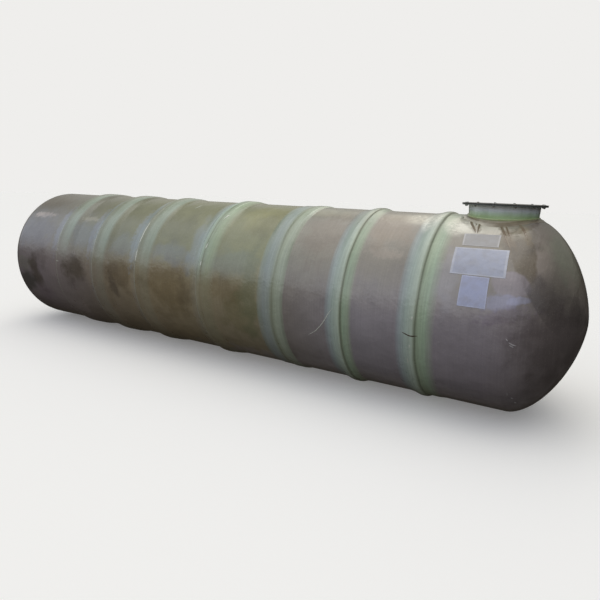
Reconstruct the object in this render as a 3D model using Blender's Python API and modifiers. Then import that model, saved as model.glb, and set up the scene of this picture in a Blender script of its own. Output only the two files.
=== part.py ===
"""Ribbed glass-fibre tank for burial, lying level, with one round manway.

Metres, +Z up.  The tank's long axis runs along X, and the manway stands near
the +X end.  The origin is on the floor, under the middle of the tank.
"""
import math

import bpy

# Driving dimensions of the shell
SHELL_RADIUS = 0.915        # outer radius between the ribs
WALL = 0.010                # thickness of the laminate
HALF_STRAIGHT = 3.303       # from mid-length to where each end starts to curve
END_DEPTH = 0.550           # how far a dished end reaches past its straight part
END_EXPONENT = 1.65         # fullness of the dished end's section, 2 is an ellipse
SEAM_X = 3.425              # where each end piece meets its barrel
JOINT_X = 1.005             # where the two half shells are butted together

# Ring stiffeners: foot centre, foot width, hump centre, hump width
RIBS = (
    (-2.305, 0.400, -2.275, 0.310),
    (-1.605, 0.400, -1.565, 0.300),
    (-0.855, 0.380, -0.825, 0.280),
    (0.095, 0.380, 0.125, 0.270),
    (1.785, 0.300, 1.790, 0.180),
    (2.550, 0.370, 2.510, 0.160),
)
RIB_FOOT = 0.005            # thickness of a rib's laminate foot
RIB_HUMP = 0.020            # height of the hump over the foot
HUMP_FLANK = 0.28           # share of the hump's width that each flank takes
HUMP_SHOULDER = 0.72        # height of the flank's knuckle, share of the hump
HUMP_LIP = 0.08             # height of the hump's outer edge, share of the hump

# Laminate over the butt joint
JOINT_WIDTH = 0.340
JOINT_THICKNESS = 0.013
JOINT_TAPER = 0.045         # width of the feathered edge on each side
JOINT_LIP = 0.2             # thickness of that edge, share of the band

# Manway
NECK_X = 3.023
NECK_RADIUS = 0.319
NECK_WALL = 0.012
COLLAR_RADIUS = 0.370       # outer radius of the laminate round the neck's base
COLLAR_THICKNESS = 0.008
FLANGE_RADIUS = 0.382
FLANGE_THICKNESS = 0.009
GASKET_THICKNESS = 0.003
LID_THICKNESS = 0.006
LID_TOP_OVER_SHELL = 0.122  # from the shell's crown up to the lid's top face
NECK_INSIDE = 0.830         # height over the tank's axis where the neck ends

GAP = 0.0003                # between pieces that touch
SIDES = 48                  # facets round every turned piece
END_STEPS = 8               # facets along a dished end's section
SHOULDER_STEPS = 3          # facets along the barrel's curved shoulder
SHARP_ANGLE = math.radians(30)
HALF_SIDE = math.pi / SIDES

# A ring's flat facets touch its true circle, so its corners lie further out
CORNER = 1 / math.cos(HALF_SIDE)

HUMP_RADIUS = SHELL_RADIUS + 2 * GAP + RIB_FOOT + RIB_HUMP
AXIS_Z = HUMP_RADIUS        # the humps' lowest facets rest on the floor
LID_TOP_Z = AXIS_Z + SHELL_RADIUS + LID_TOP_OVER_SHELL
LID_UNDER_Z = LID_TOP_Z - LID_THICKNESS
GASKET_UNDER_Z = LID_UNDER_Z - GAP - GASKET_THICKNESS
FLANGE_UNDER_Z = GASKET_UNDER_Z - GAP - FLANGE_THICKNESS
NECK_TOP_Z = FLANGE_UNDER_Z - GAP
NECK_FOOT_Z = AXIS_Z + NECK_INSIDE


def clear_scene():
    """Remove what the scene starts with."""
    for item in list(bpy.data.objects):
        bpy.data.objects.remove(item, do_unlink=True)


def new_collection(name):
    group = bpy.data.collections.new(name)
    bpy.context.scene.collection.children.link(group)
    return group


def material(name, colour, roughness, metallic=0.0):
    """A plain surface with one colour."""
    made = bpy.data.materials.new(name)
    made.use_nodes = True
    shader = made.node_tree.nodes["Principled BSDF"]
    shader.inputs["Base Color"].default_value = (*colour, 1.0)
    shader.inputs["Roughness"].default_value = roughness
    shader.inputs["Metallic"].default_value = metallic
    return made


def turned(name, profile, closed, group, look=None, lying=True):
    """Turn a profile of (radius, height) points into a solid.

    The points run down the outer side.  A closed profile makes a ring, and an
    open one starts and ends on the axis.  A lying piece has its height along
    X and a flat facet at its lowest point.
    """
    start = HALF_SIDE if lying else 0.0
    scale = CORNER if lying else 1.0
    points = [
        (r * scale * math.cos(start), r * scale * math.sin(start), height)
        for r, height in profile
    ]
    count = len(points)
    edges = [(i, i + 1) for i in range(count - 1)]
    if closed:
        edges.append((count - 1, 0))
    mesh = bpy.data.meshes.new(name)
    mesh.from_pydata(points, edges, [])
    body = bpy.data.objects.new(name, mesh)
    group.objects.link(body)
    screw = body.modifiers.new("turn", "SCREW")
    screw.axis = "Z"
    screw.angle = 2 * math.pi
    screw.steps = SIDES
    screw.render_steps = SIDES
    screw.use_merge_vertices = True
    screw.merge_threshold = 0.0001
    screw.use_smooth_shade = True
    if lying:
        body.rotation_euler = (0.0, math.pi / 2, 0.0)
        body.location = (0.0, 0.0, AXIS_Z)
    else:
        body.location = (NECK_X, 0.0, 0.0)
    if look:
        mesh.materials.append(look)
    return body


def boolean(body, other, operation="DIFFERENCE"):
    step = body.modifiers.new(operation.lower(), "BOOLEAN")
    step.operation = operation
    step.solver = "EXACT"
    step.object = other


def as_cutter(body):
    body.hide_render = True
    body.display_type = "WIRE"
    return body


def end_profile(inset, start_x):
    """Section of a dished end from start_x to its pole, inset from outside.

    (radius / R) ** n + (reach / depth) ** n = 1, with n the end's exponent.
    """
    radius = SHELL_RADIUS - inset
    depth = END_DEPTH - inset
    reach = (start_x - HALF_STRAIGHT) / depth
    first = math.asin(reach ** (END_EXPONENT / 2))
    last = math.pi / 2
    points = []
    for i in range(END_STEPS + 1):
        angle = first + (last - first) * i / END_STEPS
        x = HALF_STRAIGHT + depth * math.sin(angle) ** (2 / END_EXPONENT)
        r = radius * max(math.cos(angle), 0.0) ** (2 / END_EXPONENT)
        points.append((r, x))
    points[-1] = (0.0, points[-1][1])
    return points


def shoulder_profile(inset, end_x):
    """Section of the barrel's curved shoulder, from the straight to end_x."""
    radius = SHELL_RADIUS - inset
    depth = END_DEPTH - inset
    points = []
    for i in range(SHOULDER_STEPS + 1):
        x = HALF_STRAIGHT + (end_x - HALF_STRAIGHT) * i / SHOULDER_STEPS
        fall = ((x - HALF_STRAIGHT) / depth) ** END_EXPONENT
        points.append((radius * (1 - fall) ** (1 / END_EXPONENT), x))
    return points


def end_piece(name, side, group, look):
    """A dished end: outer side from its pole to the seam, and back inside."""
    outer = end_profile(0.0, SEAM_X + GAP)
    inner = end_profile(WALL, SEAM_X + GAP)
    profile = list(reversed(outer)) + inner
    if side < 0:
        profile = [(r, -x) for r, x in reversed(profile)]
    return turned(name, profile, False, group, look)


def barrel(name, side, joint_x, group, look):
    """Half a shell: a straight tube whose outer end starts to curve in."""
    outer = shoulder_profile(0.0, SEAM_X)
    inner = shoulder_profile(WALL, SEAM_X)
    rim = joint_x * side
    profile = list(reversed(outer)) + [(SHELL_RADIUS, rim), (SHELL_RADIUS - WALL, rim)] + inner
    if side < 0:
        profile = [(r, -x) for r, x in reversed(profile)]
    return turned(name, profile, True, group, look)


def ring(name, centre, widths, heights, base, group, look):
    """A ring round the shell whose section is symmetric about its middle.

    widths and heights give half the section, from its crest to its foot.
    """
    right = [(base + h, centre + w / 2) for w, h in zip(widths, heights)]
    left = [(base + h, centre - w / 2) for w, h in zip(widths, heights)]
    return turned(name, list(reversed(right)) + left, True, group, look)


def upright_ring(name, outer, inner, low, high, group, look):
    profile = [(outer, high), (outer, low), (inner, low), (inner, high)]
    return turned(name, profile, True, group, look, lying=False)


def upright_disc(name, radius, low, high, group, look=None):
    """A flat round plate or plug on the manway's axis."""
    bpy.ops.mesh.primitive_cylinder_add(
        vertices=SIDES,
        radius=radius,
        depth=high - low,
        location=(NECK_X, 0.0, (low + high) / 2),
    )
    body = bpy.context.object
    body.name = name
    for owner in list(body.users_collection):
        owner.objects.unlink(body)
    group.objects.link(body)
    if look:
        body.data.materials.append(look)
    return body


def make_shell(tank, tools):
    olive = material("olive polyester laminate", (0.20, 0.20, 0.12), 0.42)
    mauve = material("mauve polyester laminate", (0.19, 0.16, 0.15), 0.36)
    grey = material("grey polyester laminate", (0.16, 0.15, 0.16), 0.36)
    end_piece("left_end_dome", -1, tank, grey)
    barrel("left_barrel", -1, JOINT_X - GAP / 2, tank, olive)
    right = barrel("right_barrel", 1, JOINT_X + GAP / 2, tank, mauve)
    end_piece("right_end_dome", 1, tank, mauve)
    hole = as_cutter(upright_disc("neck_hole", NECK_RADIUS + GAP, NECK_FOOT_Z - WALL, LID_TOP_Z, tools))
    boolean(right, hole)


def make_ribs(tank, tools):
    green = material("pale green glass band", (0.26, 0.33, 0.26), 0.40)
    base = SHELL_RADIUS + GAP
    trim = as_cutter(upright_disc("collar_clearance", COLLAR_RADIUS + GAP, AXIS_Z, LID_TOP_Z, tools))
    for number, (foot_x, foot_width, hump_x, hump_width) in enumerate(RIBS, start=1):
        foot = ring(
            f"rib_foot_{number}", foot_x, (foot_width, foot_width), (RIB_FOOT, 0.0), base, tank, green
        )
        if foot_x + foot_width / 2 > NECK_X - COLLAR_RADIUS:
            boolean(foot, trim)
        flank = hump_width * HUMP_FLANK
        widths = (hump_width - 2 * flank, hump_width - flank, hump_width, hump_width)
        heights = (RIB_HUMP, RIB_HUMP * HUMP_SHOULDER, RIB_HUMP * HUMP_LIP, 0.0)
        ring(f"rib_{number}", hump_x, widths, heights, base + RIB_FOOT + GAP, tank, green)
    widths = (JOINT_WIDTH - 2 * JOINT_TAPER, JOINT_WIDTH, JOINT_WIDTH)
    heights = (JOINT_THICKNESS, JOINT_THICKNESS * JOINT_LIP, 0.0)
    ring("joint_band", JOINT_X, widths, heights, base, tank, green)


def make_collar(tank, tools):
    """The laminate that wraps the neck's base, a patch of an outer skin."""
    resin = material("brown resin laminate", (0.16, 0.15, 0.09), 0.34)
    low_x = NECK_X - COLLAR_RADIUS - COLLAR_THICKNESS
    inner = [(r + GAP, x) for r, x in shoulder_profile(0.0, SEAM_X)]
    outer = [(r + COLLAR_THICKNESS, x) for r, x in inner]
    profile = list(reversed(outer))
    profile += [(outer[0][0], low_x), (inner[0][0], low_x)]
    profile += inner
    collar = turned("manway_collar", profile, True, tank, resin)
    keep = as_cutter(
        upright_ring("collar_outline", COLLAR_RADIUS, NECK_RADIUS + GAP, AXIS_Z, LID_TOP_Z, tools, None)
    )
    boolean(collar, keep, "INTERSECT")


def make_manway(tank):
    glass = material("blue-green glass laminate", (0.16, 0.22, 0.19), 0.36)
    rubber = material("black rubber sheet", (0.02, 0.02, 0.02), 0.7)
    paint = material("black painted steel", (0.02, 0.02, 0.022), 0.45)
    bore = NECK_RADIUS - NECK_WALL
    upright_ring("manway_neck", NECK_RADIUS, bore, NECK_FOOT_Z, NECK_TOP_Z, tank, glass)
    flange_top = FLANGE_UNDER_Z + FLANGE_THICKNESS
    upright_ring("manway_flange", FLANGE_RADIUS, bore, FLANGE_UNDER_Z, flange_top, tank, glass)
    gasket_top = GASKET_UNDER_Z + GASKET_THICKNESS
    upright_ring("manway_gasket", FLANGE_RADIUS, bore, GASKET_UNDER_Z, gasket_top, tank, rubber)
    upright_disc("manway_lid", FLANGE_RADIUS, LID_UNDER_Z, LID_TOP_Z, tank, paint)


def shade_round(group):
    """Turn each piece's modifiers into its mesh, shaded smooth but at its edges."""
    scene = bpy.context.evaluated_depsgraph_get()
    finished = {
        body: bpy.data.meshes.new_from_object(body.evaluated_get(scene))
        for body in group.objects
    }
    for body, mesh in finished.items():
        body.modifiers.clear()
        body.data = mesh
        mesh.name = body.name
        mesh.shade_smooth()
        mesh.set_sharp_from_angle(angle=SHARP_ANGLE)


def main():
    clear_scene()
    tank = new_collection("ribbed underground tank")
    tools = new_collection("cutters")
    make_shell(tank, tools)
    make_ribs(tank, tools)
    make_collar(tank, tools)
    make_manway(tank)
    shade_round(tank)


main()
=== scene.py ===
# %% [markdown]
# # A glass-fibre tank for burial
#
# The real tank is laid up by hand and by winding: glass fibre soaked in polyester resin, in two
# half shells that are butted together and wrapped. Six ring ribs, each a band of laminate over a
# light former, keep it round under the soil. A round manway stands at one end, under a bolted lid.
#
# The solid model gives every piece its place. This script gives the pieces their surfaces: each is
# a function of two parameters, worked out as whole arrays, and each finish is made from nodes.

# %% Load the solid model and read its sizes
import math

import bpy
import numpy as np
from mathutils import Matrix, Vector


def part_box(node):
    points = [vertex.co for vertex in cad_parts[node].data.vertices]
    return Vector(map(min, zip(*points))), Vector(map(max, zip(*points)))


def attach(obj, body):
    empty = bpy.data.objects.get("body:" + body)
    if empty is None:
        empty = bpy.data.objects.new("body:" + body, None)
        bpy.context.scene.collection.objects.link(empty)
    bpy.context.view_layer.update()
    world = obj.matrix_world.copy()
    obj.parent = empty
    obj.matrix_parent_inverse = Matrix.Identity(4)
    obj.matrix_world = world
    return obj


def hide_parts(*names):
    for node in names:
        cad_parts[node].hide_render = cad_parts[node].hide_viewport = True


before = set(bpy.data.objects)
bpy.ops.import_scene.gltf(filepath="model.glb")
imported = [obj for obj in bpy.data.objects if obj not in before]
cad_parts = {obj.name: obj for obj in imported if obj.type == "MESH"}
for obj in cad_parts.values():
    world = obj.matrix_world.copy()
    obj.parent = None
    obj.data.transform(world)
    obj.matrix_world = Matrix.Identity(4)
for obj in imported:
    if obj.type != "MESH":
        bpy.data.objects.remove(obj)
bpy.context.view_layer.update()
ROOT = "root"

barrel_low, barrel_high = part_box("left_barrel")
SHELL_RADIUS = barrel_high.y
AXIS_Z = (barrel_low.z + barrel_high.z) / 2
POLE_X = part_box("right_end_dome")[1].x
SEAM_X = (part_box("right_barrel")[1].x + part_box("right_end_dome")[0].x) / 2
JOINT_X = (barrel_high.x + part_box("right_barrel")[0].x) / 2
print(f"shell {2 * SHELL_RADIUS:.3f} m across, {2 * POLE_X:.3f} m long, axis {AXIS_Z:.3f} m up")

# %% [markdown]
# ## Colours and nodes
#
# Colours are easiest to name as sRGB hex values, but a shader works with linear light, so one
# function turns one into the other. Another adds a node, its settings and its links in one call,
# which keeps a material's recipe short enough to read. Two steps come up in nearly every recipe:
# shares that are multiplied, and a colour that a noise makes lighter and darker.

# %% Helpers for materials
NOISE_RANGE = (0.3, 0.7)


def srgb(code, alpha=1.0):
    """Linear RGBA of a hex colour: ((c + 0.055) / 1.055) ** 2.4, or c / 12.92 for the darkest."""
    parts = np.array([int(code[i:i + 2], 16) for i in (0, 2, 4)]) / 255
    linear = np.where(parts > 0.04045, ((parts + 0.055) / 1.055) ** 2.4, parts / 12.92)
    return (*linear.tolist(), alpha)


def add(tree, kind, values=(), stops=(), **settings):
    """Add a node. values fill its sockets in use in order, or by name if they are a dict.

    A value is a number, a colour, a socket, or a node, which gives its first output in use.
    stops are the (place, colour) pairs of a colour ramp.
    """
    node = tree.nodes.new("ShaderNode" + kind)
    for name, setting in settings.items():
        setattr(node, name, setting)
    if isinstance(values, dict):
        pairs = [(node.inputs[name], value) for name, value in values.items()]
    else:
        pairs = list(zip([socket for socket in node.inputs if socket.enabled], values))
    for socket, value in pairs:
        if isinstance(value, bpy.types.Node):
            value = next(output for output in value.outputs if output.enabled)
        if isinstance(value, bpy.types.NodeSocket):
            tree.links.new(value, socket)
        else:
            socket.default_value = value
    if stops:
        points = node.color_ramp.elements
        while len(points) < len(stops):
            points.new(1.0)
        for point, (place, colour) in zip(points, stops):
            point.position = place
            point.color = colour
    return node


def product(tree, shares):
    """All the shares multiplied together."""
    total = shares[0]
    for share in shares[1:]:
        total = add(tree, "Math", [total, share], operation="MULTIPLY")
    return total


def mottled(tree, colour, noise, least, most):
    """The colour times least to most, as the noise goes over its usual range."""
    gain = add(tree, "MapRange", [noise, *NOISE_RANGE, least, most])
    return add(tree, "VectorMath", [colour, gain], operation="SCALE")


def new_material(name):
    """An empty material, and the tree to build in."""
    made = bpy.data.materials.new(name)
    made.use_nodes = True
    made.node_tree.nodes.clear()
    return made, made.node_tree


print("mid grey in linear light:", round(srgb("808080")[0], 3))

# %% [markdown]
# ## Surfaces from rows of points
#
# Every round piece here is a stack of rings. Each row of points goes once round, and the rows
# follow a profile. If the last row joins the first, the piece is a closed band, like a rubber
# ring. Otherwise the first and last rows shrink to a point each, and the piece is closed there.
# The texture map is in metres, across the profile and round the ring.

# %% Build a mesh from rows


def row_faces(m, n, loop):
    """Corner indices (row, column) of the faces: quads between rows, triangles at the two poles."""
    i, j = np.meshgrid(np.arange(m if loop else m - 1), np.arange(n), indexing="ij")
    rows = np.stack([i, i, i + 1, i + 1], -1).reshape(-1, 4)
    columns = np.stack([j, j + 1, j + 1, j], -1).reshape(-1, 4)
    if loop:
        return rows, columns, rows[:0, :3], columns[:0, :3]
    first, last = rows[:, 0] == 0, rows[:, 0] == m - 2
    middle = ~(first | last)
    fan_rows = np.concatenate([rows[first][:, [0, 2, 3]], rows[last][:, [0, 1, 2]]])
    fan_columns = np.concatenate([columns[first][:, [0, 2, 3]], columns[last][:, [0, 1, 2]]])
    return rows[middle], columns[middle], fan_rows, fan_columns


def enclosed(points, faces):
    """Signed volume inside a closed surface: a sixth of the sum of a . (b x c) over triangles."""
    a, b, c = (points[faces[:, k]] for k in range(3))
    return float(np.einsum("ij,ij->", a, np.cross(b, c))) / 6


def row_mesh(rows, loop=True, across=None, around=None):
    """Points, faces and texture map of one closed piece, its faces turned to point outwards."""
    m, n = rows.shape[:2]
    quad_rows, quad_columns, fan_rows, fan_columns = row_faces(m, n, loop)
    if loop:
        points = rows.reshape(-1, 3)
        index = np.arange(m * n).reshape(m, n)
    else:
        points = np.concatenate([rows[:1, 0], rows[1:-1].reshape(-1, 3), rows[-1:, 0]])
        index = np.zeros((m, n), int)
        index[1:-1] = np.arange(1, 1 + (m - 2) * n).reshape(m - 2, n)
        index[-1] = len(points) - 1
    quads = index[quad_rows % m, quad_columns % n]
    fans = index[fan_rows % m, fan_columns % n]
    across = np.arange(m + 1.0) / m if across is None else np.append(across, across[0])
    around = np.arange(n + 1.0) / n if around is None else around
    quad_map = np.stack([across[quad_rows], around[quad_columns]], -1)
    fan_map = np.stack([across[fan_rows], around[fan_columns]], -1)
    halves = np.concatenate([quads[:, :3], quads[:, [0, 2, 3]], fans])
    if enclosed(points, halves) < 0:
        quads, quad_map = quads[:, ::-1], quad_map[:, ::-1]
        fans, fan_map = fans[:, ::-1], fan_map[:, ::-1]
    return points, (quads, fans), (quad_map, fan_map)


def new_object(name, points, faces, corner_map, look, map_name="metres"):
    """An object that rides on the tank: a smooth mesh with its texture map and its finish."""
    mesh = bpy.data.meshes.new(name)
    mesh.from_pydata(points, [], faces)
    layer = mesh.uv_layers.new(name=map_name)
    layer.uv.foreach_set("vector", corner_map.astype(np.float32).ravel())
    mesh.materials.append(look)
    mesh.shade_smooth()
    piece = bpy.data.objects.new(name, mesh)
    bpy.context.scene.collection.objects.link(piece)
    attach(piece, ROOT)
    return piece


def new_piece(name, parts, look, replaces=(), sharp=40):
    """One object from several closed meshes and the solids it stands for."""
    start, points, faces, maps = 0, [], [], []
    for part_points, part_faces, part_maps in parts:
        points.append(part_points)
        for group, corners in zip(part_faces, part_maps):
            faces += (group + start).tolist()
            maps.append(corners.reshape(-1, 2))
        start += len(part_points)
    piece = new_object(name, np.concatenate(points), faces, np.concatenate(maps), look)
    piece.data.set_sharp_from_angle(angle=math.radians(sharp))
    if replaces:
        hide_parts(*replaces)
    print(f"{name}: {sum(len(face) - 2 for face in faces)} triangles")
    return piece


# %% [markdown]
# ## The shell's own form
#
# Between its ribs the tank is a plain tube. Its ends are dished, fuller than a cone and leaner
# than a half ellipse: (r / R) ** n + (reach / depth) ** n = 1 with n below 2. Hand laid laminate is
# never quite true, so the radius falls short by a millimetre or two in slow waves, which is what
# makes reflections wander along the side of a real tank.

# %% Radius, unevenness and rings


def circle(count):
    """Angles of evenly spaced points once round."""
    return np.arange(count) * 2 * math.pi / count


END_DEPTH = 0.550
END_EXPONENT = 1.65
WALL = 0.010
HALF_STRAIGHT = POLE_X - END_DEPTH
AROUND = 256
TURN = circle(AROUND) - math.pi / 2
ROUND_METRES = np.arange(AROUND + 1) * 2 * math.pi * SHELL_RADIUS / AROUND
WAVES_ROUND = (1, 2, 3, 5, 7, 9)


def shell_radius(x, inset=0.0):
    """Radius at x: R on the straight, and R (1 - (reach / depth) ** n) ** (1 / n) on the ends."""
    depth = END_DEPTH - inset
    reach = np.clip((np.abs(x) - HALF_STRAIGHT) / depth, 0.0, 1.0)
    return (SHELL_RADIUS - inset) * (1 - reach ** END_EXPONENT) ** (1 / END_EXPONENT)


def unevenness(x, turn, seed, length, size):
    """A sum of waves over x and turn, each with its own phase, scaled to run from -size to 0."""
    draw = np.random.default_rng(seed)
    total = np.zeros(np.broadcast(x, turn).shape)
    for rounds in WAVES_ROUND:
        phase, slant = draw.uniform(0, 2 * math.pi, 2)
        pace = 2 * math.pi / (length * draw.uniform(0.6, 1.6))
        total += np.cos(rounds * turn + pace * x + phase) * np.cos(0.6 * pace * x + slant)
    return size * (total / (2 * len(WAVES_ROUND)) - 0.5)


def wander(turn, seed):
    """The same waves going round only, from -2 to 2, for edges that stray."""
    return unevenness(0.0, turn, seed, 1.0, 4.0) + 2.0


def rings(x, radius, turn=TURN):
    """Rows of points round the tank's axis: (x, -r cos t, axis + r sin t)."""
    x = np.broadcast_to(x, radius.shape)
    return np.stack([x, -radius * np.cos(turn), AXIS_Z + radius * np.sin(turn)], -1)


def smooth_step(value):
    """0 below 0, 1 above 1, and 3 v ** 2 - 2 v ** 3 between."""
    v = np.clip(value, 0.0, 1.0)
    return v * v * (3 - 2 * v)


print("radius at the seams:", np.round(shell_radius(np.array([0.0, SEAM_X, POLE_X])), 3))

# %% [markdown]
# ## Polyester laminate
#
# Common name: glass reinforced polyester. It is rolled out wet, so it has a glossy, slightly
# rippled skin (IOR about 1.55, a clear resin coat of roughness 0.13) over a cloudy body whose colour
# comes from the resin and from how well it wetted the glass. The left half was laid up with an
# olive resin, the right half with a pinkish one. Both have their own tones above and below their
# middle: the lower ones, browner on the left and more mauve on the right, are partly the resin's
# tone and partly painted reflection of the dark ground and the low sky. Over that lie soft clouds
# half a metre across, rings left by winding, and the pale flecks of chopped strand.
#
# Strands are 10 to 50 mm long and under a millimetre wide. At this distance they would vanish, so
# the flecks are drawn about 12 mm wide and the winding lines about 15 mm apart.

# %% Sizes in the pattern (m), and a point's place on the shell
CLOUD_SIZE = 0.55
BLOT_SIZE = 1 / 7
SPECK_SIZE = 1 / 24
WINDING_PITCH = 0.015
FLECK_SIZE = 0.012
GLINT_SIZE = 0.032
CLOUD_SHIFT = 0.3
RIPPLE_SIZE = 0.11
PEEL_SIZE = 0.030


def shell_place(tree):
    """A point's place, its x, its height, and (x, turn, 0) with turn = atan2(z, -y)."""
    place = add(tree, "TexCoord").outputs["Object"]
    x, y, z = add(tree, "SeparateXYZ", [place]).outputs
    over = add(tree, "Math", [z, AXIS_Z], operation="SUBTRACT")
    front = add(tree, "Math", [y, -1.0], operation="MULTIPLY")
    turn = add(tree, "Math", [over, front], operation="ARCTAN2")
    return place, x, z, add(tree, "CombineXYZ", [x, turn])


def along(x):
    """Share of the tank's length at x, for the stops of a ramp."""
    return (x + POLE_X) / (2 * POLE_X)


print("the joint is at", round(along(JOINT_X), 3), "of the length")

# %% [markdown]
# ## Stains and painted light on the shell
#
# The shell is patchy. Some patches are stains: browner where the resin is thick, khaki or lilac
# where it is thin. Many others are painted light, namely painted sky reflections, painted highlights and
# painted dark reflections, each marked in the table. Each patch is an ellipse on the unrolled
# shell, its outline pushed about by noise, so a few numbers place it. Near the crown lie painted
# glints: pale specks in the same ellipses, cut out by a finer noise. On the right end lies a
# painted dark reflection with a sharp corner, a wedge open to the right.

# %% Tones, patches and the painted dark reflection
# Tones along the tank above and below its middle. The difference between them is partly the resin's tone
# and partly painted reflection of the ground and the low sky.
UPPER_TONES = [
    (-3.85, "605d5c"), (-2.70, "7e7a71"), (-1.70, "7a7b5e"), (-0.50, "878867"), (0.85, "8f916c"),
    (1.15, "928e80"), (2.00, "968f83"), (3.10, "928a7f"), (3.40, "857c74"), (3.85, "7d776c"),
]
LOWER_TONES = [
    (-3.85, "605859"), (-2.90, "877c7e"), (-2.20, "8a7f7a"), (-1.50, "93856f"), (-0.30, "9a8c6e"),
    (0.85, "9c9279"), (1.15, "928a84"), (2.00, "9f999e"), (3.10, "9d959b"), (3.60, "827977"),
]

# Patch: x and turn of its middle, half its length and height (m, degrees), lean, softness,
# colour and how much it covers.
PATCHES = [
    (-3.20, -3, 0.16, 7, 0.1, 0.7, "7b786e", 0.60),
    (-2.96, -9, 0.10, 15, 0.20, 0.8, "483e30", 0.75),
    (-3.22, -20, 0.20, 9, 0.35, 0.8, "36372e", 0.75),
    (-2.92, -30, 0.16, 8, 0.0, 0.9, "84737c", 0.45),
    # Painted highlight: a pale streak of reflected sky on the left end.
    (-3.03, 43.5, 0.20, 2.6, 0.05, 0.9, "cfc0b8", 0.60),
    # Painted sky reflection: a bluish sheen on the left end.
    (-3.05, 27, 0.42, 12, 0.0, 0.9, "858692", 0.45),
    (-3.10, 64, 0.32, 14, 0.0, 0.9, "756957", 0.50),
    # Painted highlight: the pale upper edge of the reflected sky, between ribs 1 and 2.
    (-2.02, 43, 0.13, 2.2, 0.0, 0.9, "b3ad98", 0.50),
    # Painted sky reflection: a bluish sheen between ribs 1 and 2.
    (-2.02, 27, 0.20, 11, 0.0, 0.9, "88919a", 0.40),
    (-2.08, 0, 0.18, 10, 0.15, 0.9, "514736", 0.72),
    (-1.93, -16, 0.22, 8, 0.0, 0.9, "766c6c", 0.35),
    (-1.22, 2, 0.24, 13, 0.0, 0.9, "6a5b42", 0.60),
    (-1.36, -10, 0.07, 8, 0.3, 0.9, "40352b", 0.50),
    (-0.42, -4, 0.30, 20, 0.0, 0.9, "7d6c4a", 0.55),
    # Painted sky reflection: a bluish sheen between the ribs, in this line and the next.
    (-1.22, 23, 0.22, 8, 0.0, 0.9, "8a9596", 0.40),
    (-0.42, 21, 0.28, 7, 0.0, 0.9, "88949a", 0.45),
    # Painted sky reflection: a bluish glow on the shell just left of ribs 1 to 4, in these four lines.
    (-2.53, 32, 0.05, 20, 0.0, 0.9, "9aa3b8", 0.40),
    (-1.83, 32, 0.05, 20, 0.0, 0.9, "9aa3b8", 0.40),
    (-1.05, 32, 0.05, 22, 0.0, 0.9, "97a6b4", 0.45),
    (-0.10, 28, 0.07, 22, 0.0, 0.9, "98a6ac", 0.50),
    (0.50, 20, 0.30, 10, 0.0, 0.9, "8c9a90", 0.40),
    (0.42, 1, 0.24, 9, 0.0, 0.9, "857553", 0.50),
    (0.62, -16, 0.24, 16, 0.0, 0.9, "827b52", 0.45),
    (0.64, 62, 0.26, 14, 0.0, 0.8, "a3a06c", 0.55),
    (2.12, 60, 0.22, 17, 0.0, 0.8, "a8937f", 0.45),
    (2.17, 37, 0.16, 3, 0.0, 0.9, "b9aa9c", 0.40),
    # Painted highlight: a pale sheen on the crown.
    (1.25, 74, 0.26, 8, 0.0, 0.9, "c4c1ab", 0.55),
    (1.45, 48, 0.22, 22, 0.0, 0.9, "948273", 0.40),
    (3.24, 55, 0.13, 10, -0.3, 0.7, "9a8d70", 0.50),
    (3.46, 43, 0.10, 17, 0.0, 0.8, "ada198", 0.62),
    (3.348, 44, 0.096, 16.5, 0.22, 0.22, "6c5f48", 0.76),
    (3.29, 27, 0.15, 7, -0.2, 0.2, "a99fa8", 0.65),
    # Painted highlight: a lilac swoosh of reflected sky, in this line and the next.
    (3.25, 16.6, 0.14, 4.0, 0.30, 0.60, "aaabc8", 0.60),
    (3.37, 18.8, 0.09, 2.0, 0.35, 0.40, "acadca", 0.60),
    (3.28, 10, 0.20, 4.0, 0.35, 0.9, "7c6c84", 0.40),
    # Painted dark reflection on the upper side of the right end.
    (3.28, 55, 0.14, 12, 0.0, 0.9, "655b4d", 0.66),
    (3.27, 46, 0.08, 9, 0.0, 0.8, "6b6055", 0.50),
    # Painted highlight: a pale sheen in front of the neck, in this line and the next, where the neck and
    # lid shade the shell.
    (2.93, 62.8, 0.20, 5.0, 0.0, 0.6, "f0ead9", 0.78),
    (3.08, 62.5, 0.09, 4.5, 0.0, 0.7, "e9e2d4", 0.90),
    (0.73, 53, 0.14, 12, 0.0, 0.9, "75744c", 0.50),
    (0.74, 0, 0.12, 30, 0.0, 0.9, "7a8060", 0.50),
    (-0.15, -5, 0.13, 12, 0.0, 0.9, "6a5d45", 0.55),
    (3.37, 6, 0.14, 8, 0.0, 0.9, "7a7074", 0.40),
    (1.90, -58, 1.70, 15, 0.0, 0.6, "bdb6b6", 0.60),
    (-0.54, 44, 0.26, 13, 0.0, 0.9, "747558", 0.40),
    (-2.83, 4, 0.14, 9, 0.0, 0.9, "675d59", 0.45),
    (2.76, 28, 0.13, 14, 0.0, 0.9, "b4b2ba", 0.50),
    (3.70, -8, 0.26, 40, 0.15, 0.9, "655c5a", 0.62),
    (2.856, 63.8, 0.11, 1.2, -1.15, 0.6, "75644f", 0.62),
    (2.904, 63.6, 0.11, 1.2, -1.43, 0.6, "75644f", 0.62),
    (3.163, 56.4, 0.18, 1.9, -1.175, 0.6, "786754", 0.70),
    (3.200, 56.5, 0.16, 1.5, -1.15, 0.6, "7e6d58", 0.60),
    (3.300, 61.5, 0.16, 2.2, -1.18, 0.6, "7b6b50", 0.62),
    # Painted reflection: a pale greenish rim on the right end.
    (3.62, 70, 0.12, 22, 0.0, 0.9, "8d9480", 0.45),
]
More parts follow.
